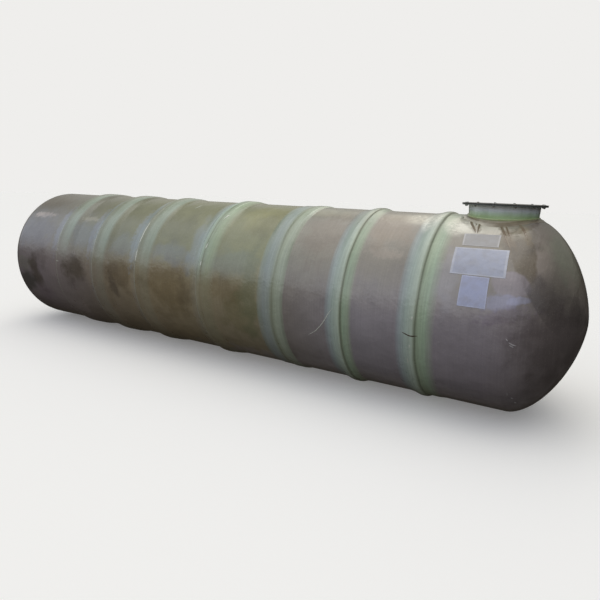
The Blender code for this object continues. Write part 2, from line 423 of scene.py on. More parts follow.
# Painted glints: patches filled with pale specks that stand in for sparkles of sky on the wet crown. The
# columns are those of a patch.
GLINT_PATCHES = [
    (2.450, 68, 0.070, 12, 0.0, 0.5, "f4f6ea", 0.85),
    (2.79, 68.5, 0.07, 5.5, 0.0, 0.5, "fbf8ee", 0.85),
    (2.88, 63.5, 0.17, 5.5, 0.0, 0.6, "f6f1e2", 0.60),
    (2.72, 66, 0.115, 11, 0.0, 0.5, "f4f0de", 0.80),
    (2.34, 73, 0.16, 9, 0.0, 0.8, "efe9d6", 0.65),
    (3.22, 64, 0.10, 8, 0.0, 0.8, "e2dac4", 0.35),
]
# Patches with a half size below this (m) are outlined by the finer of two noises.
SMALL_PATCH = 0.07

# The painted dark reflection on the right end: its corner (x, turn), its lean, how wide it opens, its
# soft edge and how dark it makes the colour.
REFLECTION_WEDGE_CORNER = (3.397, math.radians(25.2), 0.0)
REFLECTION_WEDGE_LEAN = (0.0, 0.0, math.radians(4.4))
REFLECTION_WEDGE_SPREAD = 2.03
REFLECTION_WEDGE_EDGE = 0.012
REFLECTION_WEDGE_TONE = 0.72
# Height off the painted dark reflection's midline where it starts to fade and has faded, and what is
# left of it.
REFLECTION_WEDGE_FADES = ((0.07, 0.38, 0.10), (-0.16, -0.60, 0.0))


def patch_mask(tree, flat, waver, patch):
    """Its cover inside an ellipse round the patch's middle, 0 outside, the outline moved by noise."""
    x, turn, half_x, half_turn, lean, soft, _, cover = patch
    local = add(tree, "Mapping", [
        flat, (x, math.radians(turn), 0.0), (0.0, 0.0, lean), (half_x, math.radians(half_turn), 1.0),
    ], vector_type="TEXTURE")
    reach = add(tree, "VectorMath", [local], operation="LENGTH")
    moved = add(tree, "Math", [waver, soft, reach], operation="MULTIPLY_ADD")
    return add(tree, "MapRange", [moved, 1 + 0.6 * soft, 1 - 0.6 * soft, 0.0, cover],
               interpolation_type="SMOOTHSTEP")


def reflection_wedge_mask(tree, flat):
    """Painted dark reflection: 1 where the distance right of the corner exceeds the height off its
    midline / spread.
    """
    local = add(tree, "Mapping", [flat, REFLECTION_WEDGE_CORNER, REFLECTION_WEDGE_LEAN], vector_type="TEXTURE")
    beyond, over, _ = add(tree, "SeparateXYZ", [local]).outputs
    aside = add(tree, "Math", [over], operation="ABSOLUTE")
    inside = add(tree, "Math", [aside, -1 / REFLECTION_WEDGE_SPREAD, beyond], operation="MULTIPLY_ADD")
    return product(tree, [add(tree, "MapRange", [inside, 0.0, REFLECTION_WEDGE_EDGE])] + [
        add(tree, "MapRange", [over, start, end, 1.0, least], interpolation_type="SMOOTHSTEP")
        for start, end, least in REFLECTION_WEDGE_FADES
    ])


print(len(PATCHES), "patches on the shell")

# %% The laminate's body colour, shared by every piece of the shell


def body_colour(tree, place, x, z, flat):
    """Colour of the bare laminate: tones along the tank, above and below, patches, clouds, with painted
    reflections, painted highlights and a painted dark reflection among them.
    """
    clouds = add(tree, "TexNoise", [place, 1 / CLOUD_SIZE, 3.0, 0.55])
    blots = add(tree, "TexNoise", [place, 1 / BLOT_SIZE, 4.0])
    specks = add(tree, "TexNoise", [place, 1 / SPECK_SIZE, 4.0])
    shift = add(tree, "Math", [clouds, CLOUD_SHIFT, x], operation="MULTIPLY_ADD")
    share = add(tree, "MapRange", [shift, CLOUD_SHIFT / 2 - POLE_X, CLOUD_SHIFT / 2 + POLE_X])
    above, below = (
        add(tree, "ValToRGB", [share], [(along(at), srgb(code)) for at, code in tones])
        for tones in (UPPER_TONES, LOWER_TONES)
    )
    # The lower tones give way to the upper ones with height: partly painted reflection of ground and
    # sky.
    level = add(tree, "Math", [blots, 0.22, z], operation="MULTIPLY_ADD")
    height = add(tree, "MapRange", [level, AXIS_Z + 0.08, AXIS_Z + 0.62],
                 interpolation_type="SMOOTHSTEP")
    colour = add(tree, "Mix", [height, below, above], data_type="RGBA")
    wavers = [
        add(tree, "MapRange", [noise, *NOISE_RANGE, -0.5, 0.5]) for noise in (blots, specks)
    ]
    for patch in PATCHES:
        small = min(patch[2], math.radians(patch[3])) < SMALL_PATCH
        mask = patch_mask(tree, flat, wavers[small], patch)
        colour = add(tree, "Mix", [mask, colour, srgb(patch[6])], data_type="RGBA")
    # Painted dark reflection: the colour darkened inside the wedge on the right end.
    darker = add(tree, "VectorMath", [colour, REFLECTION_WEDGE_TONE], operation="SCALE")
    colour = add(tree, "Mix", [reflection_wedge_mask(tree, flat), colour, darker], data_type="RGBA")
    winding = add(tree, "Mapping", {"Vector": place, "Scale": (1 / WINDING_PITCH, 1.3, 1.3)})
    lines = add(tree, "TexNoise", [winding, 1.0, 2.0, 0.6])
    for noise, swing in ((lines, 0.05), (clouds, 0.10), (blots, 0.06)):
        colour = mottled(tree, colour, noise, 1 - swing, 1 + swing)
    flecks = add(tree, "TexNoise", [place, 1 / FLECK_SIZE, 1.0])
    share = add(tree, "MapRange", [flecks, 0.60, 0.80, 0.0, 0.16])
    return add(tree, "Mix", [share, colour, srgb("c9c6b4")], data_type="RGBA")


def painted_glints(tree, colour, place, flat):
    """Painted glints: pale specks where a noise is high, inside the glint patches."""
    # The high spots of this noise become the pale specks of the painted glints.
    mat = add(tree, "TexNoise", [place, 1 / GLINT_SIZE, 3.0, 0.6])
    proud = add(tree, "MapRange", [mat, 0.44, 0.62, 0.45, 1.0])
    waver = add(tree, "Math", [mat, 0.5], operation="SUBTRACT")
    for patch in GLINT_PATCHES:
        share = product(tree, [patch_mask(tree, flat, waver, patch), proud])
        colour = add(tree, "Mix", [share, colour, srgb(patch[6])], data_type="RGBA")
    return colour


def glossy_skin(tree, colour, place, roughness=0.34):
    """The wet resin surface: slow ripples and fine peel as bump, and a rougher bloom in clouds."""
    slow = add(tree, "TexNoise", [place, 1 / RIPPLE_SIZE, 2.0, 0.5])
    peel = add(tree, "TexNoise", [place, 1 / PEEL_SIZE, 1.0])
    height = add(tree, "Math", [peel, 0.22, slow], operation="MULTIPLY_ADD")
    bump = add(tree, "Bump", {"Strength": 0.5, "Distance": 0.010, "Height": height})
    bloom = add(tree, "MapRange", [slow, *NOISE_RANGE, roughness - 0.06, roughness + 0.10])
    shader = add(tree, "BsdfPrincipled", {
        "Base Color": colour, "Roughness": bloom, "IOR": 1.55,
        "Coat Weight": 0.8, "Coat Roughness": 0.13, "Coat IOR": 1.5,
        "Normal": bump, "Coat Normal": bump,
    })
    add(tree, "OutputMaterial", [shader])


def laminate():
    """The bare shell between the ribs."""
    made, tree = new_material("rolled polyester laminate")
    place, x, z, flat = shell_place(tree)
    glossy_skin(tree, painted_glints(tree, body_colour(tree, place, x, z, flat), place, flat), place)
    return made


shell_look = laminate()
print(shell_look.name, "has", len(shell_look.node_tree.nodes), "nodes")

# %% [markdown]
# ## The two barrels and the two ends
#
# Each is a wall with an outer skin, an inner skin and a rim, so a profile runs along the outside
# and back along the inside. An end's profile starts and stops on the axis, where the rows shrink
# to one point. The inner skins are never seen and get only a few rows.

# %% Barrels and ends
ROW_STEP = 0.025
END_ROWS = 57
WAVE_LENGTH = 0.9
WAVE_SIZE = 0.0022
WAVE_SEED = 11


def outer_radius(x):
    """The shell's radius with its unevenness, which dies away towards the poles."""
    calm = np.clip((POLE_X - np.abs(x)) / END_DEPTH, 0.0, 1.0)
    return shell_radius(x) + calm * unevenness(x, TURN, WAVE_SEED, WAVE_LENGTH, WAVE_SIZE)


def inner_rings(x, side=1):
    """Rows on the inside of the wall, one wall's thickness in."""
    return rings(side * x, shell_radius(x, WALL) + np.zeros(AROUND))


def barrel_rows(start, end):
    """Outer rows from start to end, then inner rows back, for a closed wall."""
    outside = np.linspace(start, end, round((end - start) / ROW_STEP) + 1)[:, None]
    inside = np.linspace(end, start, 13)[:, None]
    return np.concatenate([rings(outside, outer_radius(outside)), inner_rings(inside)])


def end_rows(side):
    """From the outer pole to the seam, and inside back to the inner pole.

    reach = depth x sin(a) ** (2 / n), with a in even steps, so that rows crowd towards the pole.
    """
    seam = math.asin(((SEAM_X - HALF_STRAIGHT) / END_DEPTH) ** (END_EXPONENT / 2))
    share = np.sin(np.linspace(0.5 * math.pi, seam, END_ROWS)[:, None]) ** (2 / END_EXPONENT)
    outside = side * (HALF_STRAIGHT + END_DEPTH * share)
    inside = HALF_STRAIGHT + (END_DEPTH - WALL) * share[::-3]
    inside[0] = SEAM_X
    return np.concatenate([rings(outside, outer_radius(outside)), inner_rings(inside, side)])


shells = {}
for side, start, end, slot in (
    ("left", -SEAM_X, JOINT_X, "olive_laminate"), ("right", JOINT_X, SEAM_X, "mauve_laminate"),
):
    shells[side] = new_piece(
        f"{side}_barrel_laminate", [row_mesh(barrel_rows(start, end), around=ROUND_METRES)],
        shell_look, [f"{side}_barrel"],
    )
for side, name, slot in ((-1, "left", "grey_laminate"), (1, "right", "mauve_laminate")):
    new_piece(
        f"{name}_end_laminate", [row_mesh(end_rows(side), loop=False, around=ROUND_METRES)],
        shell_look, [f"{name}_end_dome"],
    )

# %% [markdown]
# ## Ring ribs
#
# On the real tank a light former is laid round the shell and covered with bands of wet laminate,
# which run out on both sides as a flat foot. So one surface serves for foot and hump: a foot with
# feathered, wandering edges, a hump that is steeper on its left side, and, on the four right ribs,
# a small step beside the crest where the last strip of laminate ends.

# %% Height of a rib over the shell
FOOT_RISE = 0.0053
FEATHER = 0.080
EDGE_WANDER = 0.009
STEP_WIDTH = 0.014


class Rib:
    """Where one rib lies, from the solids, and how its laminate was finished (m)."""

    def __init__(self, number, shift, flank, fall, sag, step, step_at, lean=0.0):
        foot_low, foot_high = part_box(f"rib_foot_{number}")
        hump_low, hump_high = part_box(f"rib_{number}")
        self.number = number
        self.foot = foot_low.x, foot_high.x
        self.hump = hump_low.x + shift, hump_high.x
        self.rise = hump_high.y - SHELL_RADIUS - FOOT_RISE - 0.0002
        self.flank, self.fall, self.sag = flank, fall, sag
        self.step, self.step_at, self.lean = step, step_at, lean

    def stray(self, turn):
        """How far the laminate's edges stray along the tank, in waves round it."""
        return EDGE_WANDER * wander(turn, 40 + self.number)

    def crest_line(self, start, end, share=0.85):
        """Points (x, turn in degrees) along the steep flank, at a share of its width."""
        turn = np.linspace(start, end, 40)
        x = self.hump[0] + share * self.flank + 0.3 * self.stray(np.radians(turn))
        return np.stack([x, turn], -1)

    def height(self, x, turn):
        """Foot between two feathered edges, plus hump, less a step down beside the crest.

        foot = rise x (up over the left feather) x (down over the right feather)
        hump = rise x (up over its left flank) x (down over its right flank) x (1 - sag to the right)
        step = depth x (up over its width) x (fades out over the right flank), and its line
        leans to the right by lean x sin(turn) over the tank's upper side
        """
        stray = self.stray(turn)
        low, high = self.foot[0] + stray.clip(0), self.foot[1] + stray.clip(None, 0)
        foot = smooth_step((x - low) / FEATHER) * smooth_step((high - x) / FEATHER)
        left = smooth_step((x - self.hump[0] - 0.3 * stray) / self.flank)
        right = smooth_step((self.hump[1] + 0.3 * stray - x) / self.fall)
        past = (x - self.hump[0] - self.flank) / (self.hump[1] - self.hump[0])
        sag = self.sag * np.clip(past, 0, 1)
        step_x = self.hump[0] + self.step_at + 0.15 * stray + self.lean * np.sin(turn).clip(0.15, 0.9)
        step = smooth_step((x - step_x) / STEP_WIDTH) * right
        return FOOT_RISE * foot + self.rise * left * right * (1 - sag) - self.step * step


RIBS = [
    Rib(1, -0.045, 0.045, 0.150, 0.35, 0.000, 0.16),
    Rib(2, -0.040, 0.045, 0.150, 0.35, 0.000, 0.15),
    Rib(3, -0.010, 0.040, 0.150, 0.30, 0.003, 0.065),
    Rib(4, 0.015, 0.040, 0.130, 0.25, 0.0045, 0.050, 0.09),
    Rib(5, -0.010, 0.085, 0.075, 0.00, 0.006, 0.130),
    Rib(6, -0.010, 0.095, 0.060, 0.00, 0.008, 0.136),
]
for rib in RIBS:
    tops = rib.height(np.linspace(*rib.foot, 50)[:, None], TURN)
    print(f"rib {rib.number}: {1000 * tops.max():.1f} mm proud, from x {rib.foot[0]:.3f}")

# %% [markdown]
# ## Rib laminate
#
# The bands hold more glass and less resin than the shell and have no pigment, so they are paler
# and greener: light goes in, spreads among the strands and comes out again. Where the band is thin,
# at its feathered edges, the shell's own colour shows through. The colour is therefore a strip of
# tones laid across the band over the shell's body colour, with the ramp's alpha as its cover. Some
# of these tones are painted light: painted sky reflection on the bluish feet of ribs 1 to 3, pale
# painted highlights on crests and flanks, and painted shade along the creases. The band also thins
# with height, so its cover changes with z. Its brightness changes with z too, as painted light:
# painted shade low down on ribs 1 to 4, painted light low down on ribs 5 and 6 and the joint, and a
# painted highlight near the crown.

# %% The banded finish of ribs and joint
# For each band: how much of its cover is left at the tank's middle, the height over which that
# grows to all of it (m), a gain on its brightness low down (painted shade below 1, painted light
# above 1), and how much of its cover is left at the crown.
BAND_COVERS = {
    1: (0.0, 0.62, 0.84, 1.0),
    2: (0.2, 0.50, 0.84, 1.0),
    3: (0.2, 0.50, 0.84, 1.0),
    4: (0.2, 0.42, 0.84, 1.0),
    5: (1.0, 0.30, 1.22, 0.6),
    6: (1.0, 0.30, 1.22, 0.6),
    "joint": (0.9, 0.30, 1.22, 1.0),
}
# Painted highlight: how much brighter the bands are painted near the crown.
PAINTED_CROWN_GAIN = 1.40
BAND_WAVER = 0.016


def banded_laminate(band, low, high, marks):
    """Tones across a band from x = low to high, over the shell's colour, with wavering edges.

    A mark is an x, a colour and how much it covers.
    """
    made, tree = new_material("joint laminate" if band == "joint" else f"rib laminate {band}")
    low_cover, fade, painted_low_gain, crown_cover = BAND_COVERS[band]
    place, x, z, flat = shell_place(tree)
    waver = add(tree, "TexNoise", [place, 3.0, 3.0])
    moved = add(tree, "Math", [waver, BAND_WAVER, x], operation="MULTIPLY_ADD")
    across = add(tree, "MapRange", [moved, low + BAND_WAVER / 2, high + BAND_WAVER / 2])
    tones = add(tree, "ValToRGB", [across], [
        ((at - low) / (high - low), srgb(code, cover)) for at, code, cover in marks
    ])
    strands = add(tree, "Mapping", {"Vector": place, "Scale": (90.0, 3.0, 3.0)})
    streaks = add(tree, "TexNoise", [strands, 1.0, 1.0])
    colour = mottled(tree, tones, streaks, 0.90, 1.10)
    # Painted light: the bands' brightness scaled low down, and raised near the crown as a painted
    # highlight.
    for start, end, least, most in ((-0.8, 0.3, painted_low_gain, 1.0), (0.74, 0.93, 1.0, PAINTED_CROWN_GAIN)):
        gain = add(tree, "MapRange", [z, AXIS_Z + start, AXIS_Z + end, least, most])
        colour = add(tree, "VectorMath", [colour, gain], operation="SCALE")
    cover = product(tree, [tones.outputs["Alpha"]] + [
        add(tree, "MapRange", [z, AXIS_Z + start, AXIS_Z + end, least, most],
            interpolation_type="SMOOTHSTEP")
        for start, end, least, most in ((0.0, fade, low_cover, 1.0), (0.70, 0.87, 1.0, crown_cover))
    ])
    under = body_colour(tree, place, x, z, flat)
    mixed = add(tree, "Mix", [cover, under, colour], data_type="RGBA")
    glossy_skin(tree, painted_glints(tree, mixed, place, flat), place, 0.30)
    return made


def soft_rib_marks(rib):
    """Ribs 1 to 3: bluish foot (painted sky reflection), a light line up the steep flank (painted
    highlight), olive crest, mint right side.
    """
    low, high = rib.foot
    edge = rib.hump[0] + 0.5 * rib.flank
    mint_end = min(edge + 0.245, high - 0.01)
    return [
        # Bluish stops up to the edge: painted sky reflection. The pale stop at the edge: painted
        # highlight.
        (low, "95a6ae", 0.30), (0.5 * (low + edge), "95a6ae", 0.50), (edge - 0.018, "9eb0b6", 0.60),
        (edge - 0.004, "b4b8ae", 0.9), (edge + 0.016, "8f9688", 0.65), (edge + 0.065, "8a9380", 0.6),
        (edge + 0.110, "a0ad9c", 0.75), (mint_end - 0.045, "a0b0a0", 0.75),
        (mint_end + 0.005, "9aa494", 0.0),
    ]


def green_rib_marks(rib):
    """Rib 4: bluish green from one side to the other, with a dark line down its hump, painted shade in
    its crease.
    """
    low, high = rib.foot
    line = rib.hump[0] + 0.083
    return [
        (low, "98a8a8", 0.0), (low + 0.040, "98a8aa", 0.40), (low + 0.095, "a4b6b4", 0.75),
        # The dark stop at the line is painted shade in the crease.
        (line - 0.035, "abc0b2", 0.85), (line - 0.010, "a3b69e", 0.80), (line, "74806a", 0.75),
        (line + 0.012, "9fb198", 0.80), (line + 0.080, "a5b898", 0.85), (high - 0.070, "9fae90", 0.65),
        (high - 0.023, "9aa88c", 0.0),
    ]


def sharp_rib_marks(rib):
    """Ribs 5 and 6: bluish green foot, pale crest (painted highlight), a dark line down the step
    (painted shade), mint right side.
    """
    low, high = rib.foot
    hump = rib.hump[0]
    line = hump + rib.step_at + 0.5 * STEP_WIDTH
    tail = {5: 0.80, 6: 0.40}[rib.number]
    return [
        (low, "9aa9ae", 0.0), (0.5 * (low + hump), "a0b0b2", 0.42), (hump, "a8b8b6", 0.72),
        # The pale stops before the line: painted highlight on the crest. The dark stop at the line:
        # painted shade down the step.
        (hump + 0.05, "afc1b6", 0.85), (line - 0.022, "bfcebc", 0.92), (line - 0.012, "adbaa2", 0.9),
        (line, "77836a", 0.85), (line + 0.016, "a6ba9b", 0.88), (high - 0.090, "a8bfa2", 0.85),
        (high - 0.040, "a5b79b", tail), (high - 0.002, "a3b096", 0.0),
    ]


print("covers at the tank's middle:", [cover[0] for cover in BAND_COVERS.values()])

# %% [markdown]
# ## Bands laid on the shell
#
# A band's edge has to meet the shell without a gap or a hard seam. The skin below it is uneven, so
# the band follows that skin where it is thin and runs true where it is thick, and its two ends dip
# just under the skin.

# %% Wraps of the six ribs
WRAP_ROWS = 72
LIFT = 0.0003
END_DIP = 0.0006
DIP_LENGTH = 0.012
SUNK = 0.0035


def bedded(x, height):
    """Radius of a band laid on the shell: its ends dip in, its edges follow it, its body is true."""
    under = outer_radius(x)
    dip = 1 - smooth_step((x - x[0]) / DIP_LENGTH) * smooth_step((x[-1] - x) / DIP_LENGTH)
    trued = (shell_radius(x) - under) * (height / FOOT_RISE).clip(0, 1)
    return under + LIFT - (LIFT + END_DIP) * dip + trued + height


def new_wrap(name, low, high, height, look, replaces):
    """A closed band from x = low to high: its outside, and its underside sunk in the shell."""
    x = np.linspace(low, high, WRAP_ROWS)[:, None]
    under = np.linspace(high, low, 9)[:, None]
    rows = np.concatenate([
        rings(x, bedded(x, height(x, TURN))),
        rings(under, np.full((len(under), AROUND), SHELL_RADIUS - SUNK)),
    ])
    new_piece(name, [row_mesh(rows, around=ROUND_METRES)], look, replaces)


RIB_MARKS = {4: green_rib_marks, 5: sharp_rib_marks, 6: sharp_rib_marks}
for rib in RIBS:
    marks = RIB_MARKS.get(rib.number, soft_rib_marks)(rib)
    new_wrap(f"rib_wrap_{rib.number}", *rib.foot, rib.height,
             banded_laminate(rib.number, *rib.foot, marks),
             [f"rib_foot_{rib.number}", f"rib_{rib.number}"])

# %% [markdown]
# ## The joint between the half shells
#
# The two halves are butted and wrapped with strips of mat, each a little to one side of the last.
# Their edges show as two or three faint lines, and the band is thickest right of the middle.

# %% Joint band
joint_low, joint_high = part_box("joint_band")
JOINT_RISE = joint_high.y - SHELL_RADIUS - 0.0003
JOINT_WANDER = 0.006
JOINT_FEATHERS = (0.06, 0.05)
FIRST_LAYER = 0.45
# Later layers: share of the rise, distance from the left edge (m), and which way the edge strays.
JOINT_LAYERS = ((0.10, 0.105, -1), (0.45, 0.175, 1))
LAYER_EDGE = 0.030
# Tones across the band: share of its width, colour and cover.
JOINT_TONES = [
    (0.0, "90a29c", 0.10), (0.10, "93a59f", 0.55), (0.28, "9babab", 0.72), (0.46, "a2b0a8", 0.82),
    (0.55, "98a48e", 0.82), (0.60, "87917a", 0.82), (0.65, "9fab93", 0.85), (0.75, "adb9a3", 0.90),
    (0.90, "a7b39e", 0.85), (0.97, "a2af98", 0.50), (1.0, "a2a598", 0.0),
]


def joint_height(x, turn):
    """Feathered outer edges, times the first layer's share and a step up for each later one."""
    stray = JOINT_WANDER * wander(turn, 51)
    low, high = joint_low.x + stray.clip(0), joint_high.x + stray.clip(None, 0)
    left, right = JOINT_FEATHERS
    body = smooth_step((x - low) / left) * smooth_step((high - x) / right)
    layers = FIRST_LAYER
    for share, start, way in JOINT_LAYERS:
        layers = layers + share * smooth_step((x - low - start + way * stray) / LAYER_EDGE)
    return JOINT_RISE * body * layers


joint_marks = [
    (joint_low.x + share * (joint_high.x - joint_low.x), code, cover)
    for share, code, cover in JOINT_TONES
]
new_wrap("joint_wrap", joint_low.x, joint_high.x, joint_height,
         banded_laminate("joint", joint_low.x, joint_high.x, joint_marks), ["joint_band"])

# %% [markdown]
# ## The manway
#
# A short round neck of blue-green laminate is let into the crown. It is turned from profiles of
# radius against height: the neck has a slight waist, the flange and the lid have eased edges. The
# hole for it is cut with a Boolean, whose result replaces the mesh, so no modifier is left.

# %% Turned pieces round the neck's axis, and the hole
neck_low, neck_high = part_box("manway_neck")
flange_low, flange_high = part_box("manway_flange")
gasket_low, gasket_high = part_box("manway_gasket")
lid_low, lid_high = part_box("manway_lid")
NECK_X = (neck_low.x + neck_high.x) / 2
NECK_RADIUS = neck_high.y
BORE = NECK_RADIUS - 0.012
LID_RADIUS = lid_high.y
SPIN = circle(144)
HOLE_RADIUS = NECK_RADIUS + 0.0003
HOLE_FOOT = AXIS_Z + 0.5


def turned(radii, heights, spin=SPIN, x=NECK_X, y=0.0):
    """Rows from a profile: (x + r cos s, y + r sin s, height), closed round."""
    r, z = np.asarray(radii, float)[:, None], np.asarray(heights, float)[:, None]
    z = z + np.zeros(len(spin))
    return np.stack([x + r * np.cos(spin), y + r * np.sin(spin), z], -1)


plug_rows = turned([0, HOLE_RADIUS, HOLE_RADIUS, 0], [lid_high.z, lid_high.z, HOLE_FOOT, HOLE_FOOT])
plug = new_piece("neck_plug", [row_mesh(plug_rows, loop=False)], shell_look)
right_shell = shells["right"]
cut = right_shell.modifiers.new("manway hole", "BOOLEAN")
cut.operation = "DIFFERENCE"
cut.solver = "EXACT"
cut.object = plug
holed = bpy.data.meshes.new_from_object(
    right_shell.evaluated_get(bpy.context.evaluated_depsgraph_get()))
right_shell.modifiers.clear()
right_shell.data = holed
bpy.data.objects.remove(plug)
print("right barrel after the cut:", len(holed.polygons), "faces")

# %% [markdown]
# ## Neck, flange, gasket, lid and bolts
#
# The neck's laminate is greener near the shell, where more resin ran down, and bluish at the top,
# where it is painted almost white as painted light against the shade of the lid above it.
# The lid is black painted steel under pale dust, and twelve zinc plated bolts hold it. Resins and
# paints that only differ in their two tones and the size of their blots share one recipe.

# %% Finishes of the manway


def neck_laminate():
    """Blue-green laminate, greener below, with painted light at the top (near white, against the lid's
    shade), upright drips and a wet gloss.
    """
    made, tree = new_material("blue green neck laminate")
    place = add(tree, "TexCoord").outputs["Object"]
    height = add(tree, "SeparateXYZ", [place]).outputs["Z"]
    stretched = add(tree, "Mapping", {"Vector": place, "Scale": (14.0, 14.0, 3.0)})
    drips = add(tree, "TexNoise", [stretched, 1.0, 3.0])
    level = add(tree, "Math", [drips, 0.03, height], operation="MULTIPLY_ADD")
    share = add(tree, "MapRange", [level, neck_low.z + 0.015, neck_high.z + 0.015])
    # The top stops are near white: painted light against the shade under the lid.
    colour = add(tree, "ValToRGB", [share], [
        (0.0, srgb("a9bb97")), (0.50, srgb("b4cf9c")), (0.66, srgb("cde3cd")),
        (0.80, srgb("ecf6fb")), (1.0, srgb("f8fcff")),
    ])
    glossy_skin(tree, mottled(tree, colour, drips, 0.90, 1.12), place, 0.28)
    return made


def blotched_resin(name, dark, light, roughness, blots_per_metre=35.0, detail=3.0):
    """Resin or paint in two tones, blotched by noise, under a wet skin."""
    made, tree = new_material(name)
    place = add(tree, "TexCoord").outputs["Object"]
    blots = add(tree, "TexNoise", [place, blots_per_metre, detail])
    colour = add(tree, "Mix", [blots, srgb(dark), srgb(light)], data_type="RGBA")
    glossy_skin(tree, colour, place, roughness)
    return made


def dusty_paint():
    """Black paint with pale dust that lies thicker in clouds, rough where dusty."""
    made, tree = new_material("black painted steel under dust")
    place = add(tree, "TexCoord").outputs["Object"]
    dust = add(tree, "TexNoise", [place, 9.0, 5.0])
    cover = add(tree, "MapRange", [dust, 0.35, 0.75, 0.0, 0.35])
    colour = add(tree, "Mix", [cover, srgb("26282b"), srgb("8a857b")], data_type="RGBA")
    rough = add(tree, "MapRange", [cover, 0.0, 0.35, 0.38, 0.75])
    bump = add(tree, "Bump", {"Strength": 0.2, "Distance": 0.001, "Height": dust})
    shader = add(tree, "BsdfPrincipled", {
        "Base Color": colour, "Roughness": rough, "Normal": bump,
    })
    add(tree, "OutputMaterial", [shader])
    return made


def rubber_sheet():
    """Black rubber, dull, faintly mottled by talc."""
    made, tree = new_material("black rubber sheet")
    place = add(tree, "TexCoord").outputs["Object"]
    talc = add(tree, "TexNoise", [place, 60.0, 2.0])
    colour = add(tree, "Mix", [talc, srgb("1c1c1c"), srgb("363431")], data_type="RGBA")
    shader = add(tree, "BsdfPrincipled", {"Base Color": colour, "Roughness": 0.8})
    add(tree, "OutputMaterial", [shader])
    return made


def dull_zinc():
    """Zinc plate gone grey under a chalky bloom, so only partly metallic, brown in patches."""
    made, tree = new_material("dull zinc plated steel")
    place = add(tree, "TexCoord").outputs["Object"]
    spots = add(tree, "TexNoise", [place, 45.0, 3.0])
    rust = add(tree, "MapRange", [spots, 0.5, 0.7])
    colour = add(tree, "Mix", [rust, srgb("b2b3b0"), srgb("7d6d5c")], data_type="RGBA")
    shader = add(tree, "BsdfPrincipled", {
        "Base Color": colour, "Metallic": 0.4, "Roughness": 0.55,
    })
    add(tree, "OutputMaterial", [shader])
    return made


flange_look = blotched_resin("sawn grey green flange laminate", "4d5452", "6e7672", 0.45, 16.0, 4.0)
neck_look = neck_laminate()
lid_look = dusty_paint()
rubber_look = rubber_sheet()
zinc_look = dull_zinc()
print("manway finishes:", neck_look.name, "/", lid_look.name)

# %% Neck, flange and gasket
WAIST = 0.005
share = np.linspace(0.0, 1.0, 25)
neck_outer = NECK_RADIUS - WAIST * np.sin(math.pi * share) ** 2
neck_z = neck_low.z + (neck_high.z - neck_low.z) * share
neck_rows = turned(
    np.append(neck_outer, [BORE, BORE]), np.append(neck_z, [neck_high.z, neck_low.z]),
)
new_piece("manway_neck_wall", [row_mesh(neck_rows)], neck_look, ["manway_neck"])


def eased_band(outer, low, high, ease):
    """A flat ring round the bore whose outer edges are quarter rounds of radius ease."""
    arc = np.linspace(0.0, 0.5 * math.pi, 5)
    over, up = ease * np.sin(arc), ease * np.cos(arc)
    radii = np.concatenate([[BORE], outer - ease + over, outer - ease + up, [BORE]])
    heights = np.concatenate([[low], low + ease - up, high - ease + over, [high]])
    return turned(radii, heights)


for name, node, inset, low, high, ease, look, slot in (
    ("manway_flange_ring", "manway_flange", 0.001, flange_low, flange_high, 0.003,
     flange_look, "neck_laminate"),
    ("manway_gasket_ring", "manway_gasket", 0.003, gasket_low, gasket_high, 0.001,
     rubber_look, "gasket_rubber"),
):
    rows = eased_band(LID_RADIUS - inset, low.z, high.z, ease)
    new_piece(name, [row_mesh(rows)], look, [node])

# %% Lid
LID_EASE = 0.002
LID_WARP = 0.0006
lid_radii = [0.0, 0.1, 0.2, 0.3, 0.36, LID_RADIUS - LID_EASE, LID_RADIUS,
             LID_RADIUS, LID_RADIUS - LID_EASE, 0.2, 0.0]
lid_heights = [lid_high.z] * 6 + [lid_high.z - LID_EASE, lid_low.z + LID_EASE / 2] + [lid_low.z] * 3
lid_rows = turned(lid_radii, lid_heights)
lid_rows[:7, :, 2] -= LID_WARP * (1 + np.cos(3 * SPIN + 1.0))
new_piece("manway_lid_plate", [row_mesh(lid_rows, loop=False)], lid_look,
          ["manway_lid"])

# %% Twelve bolts with washers and nuts
BOLT_CIRCLE = 0.352
BOLTS = 12
FIRST_BOLT = math.radians(15 + 11) - math.pi / 2
HEX = circle(6)
DISC = circle(20)


def bolt_parts(angle):
    """A chamfered hex head and washer over the lid, a washer, a nut and a bolt end under it.

    Each is turned from radii and heights in mm; each head is set round by its bolt's angle and each nut
    by twice that.
    """
    x, y = NECK_X + BOLT_CIRCLE * math.cos(angle), BOLT_CIRCLE * math.sin(angle)
    over, under = lid_high.z, flange_low.z
    shapes = [
        (HEX + angle, over, [0, 8.5, 10.8, 10.8, 0], [6.5, 6.5, 5.5, 1.5, 1.5]),
        (DISC, over, [0, 11.5, 12, 12, 0], [1.5, 1.5, 1.2, 0, 0]),
        (DISC, under, [0, 12, 12, 0], [0, 0, -1.5, -1.5]),
        (HEX + 2 * angle, under, [0, 10.8, 10.8, 9, 0], [-1.5, -1.5, -8, -9.5, -9.5]),
        (DISC, under, [0, 6, 6, 5, 0], [-9, -9, -13, -14, -14]),
    ]
    return [
        row_mesh(turned(np.array(radii) / 1000, base + np.array(heights) / 1000, spin, x, y), loop=False)
        for spin, base, radii, heights in shapes
    ]


bolt_meshes = []
for number in range(BOLTS):
    bolt_meshes += bolt_parts(FIRST_BOLT + number * 2 * math.pi / BOLTS)
new_piece("lid_bolts", bolt_meshes, zinc_look, sharp=25)

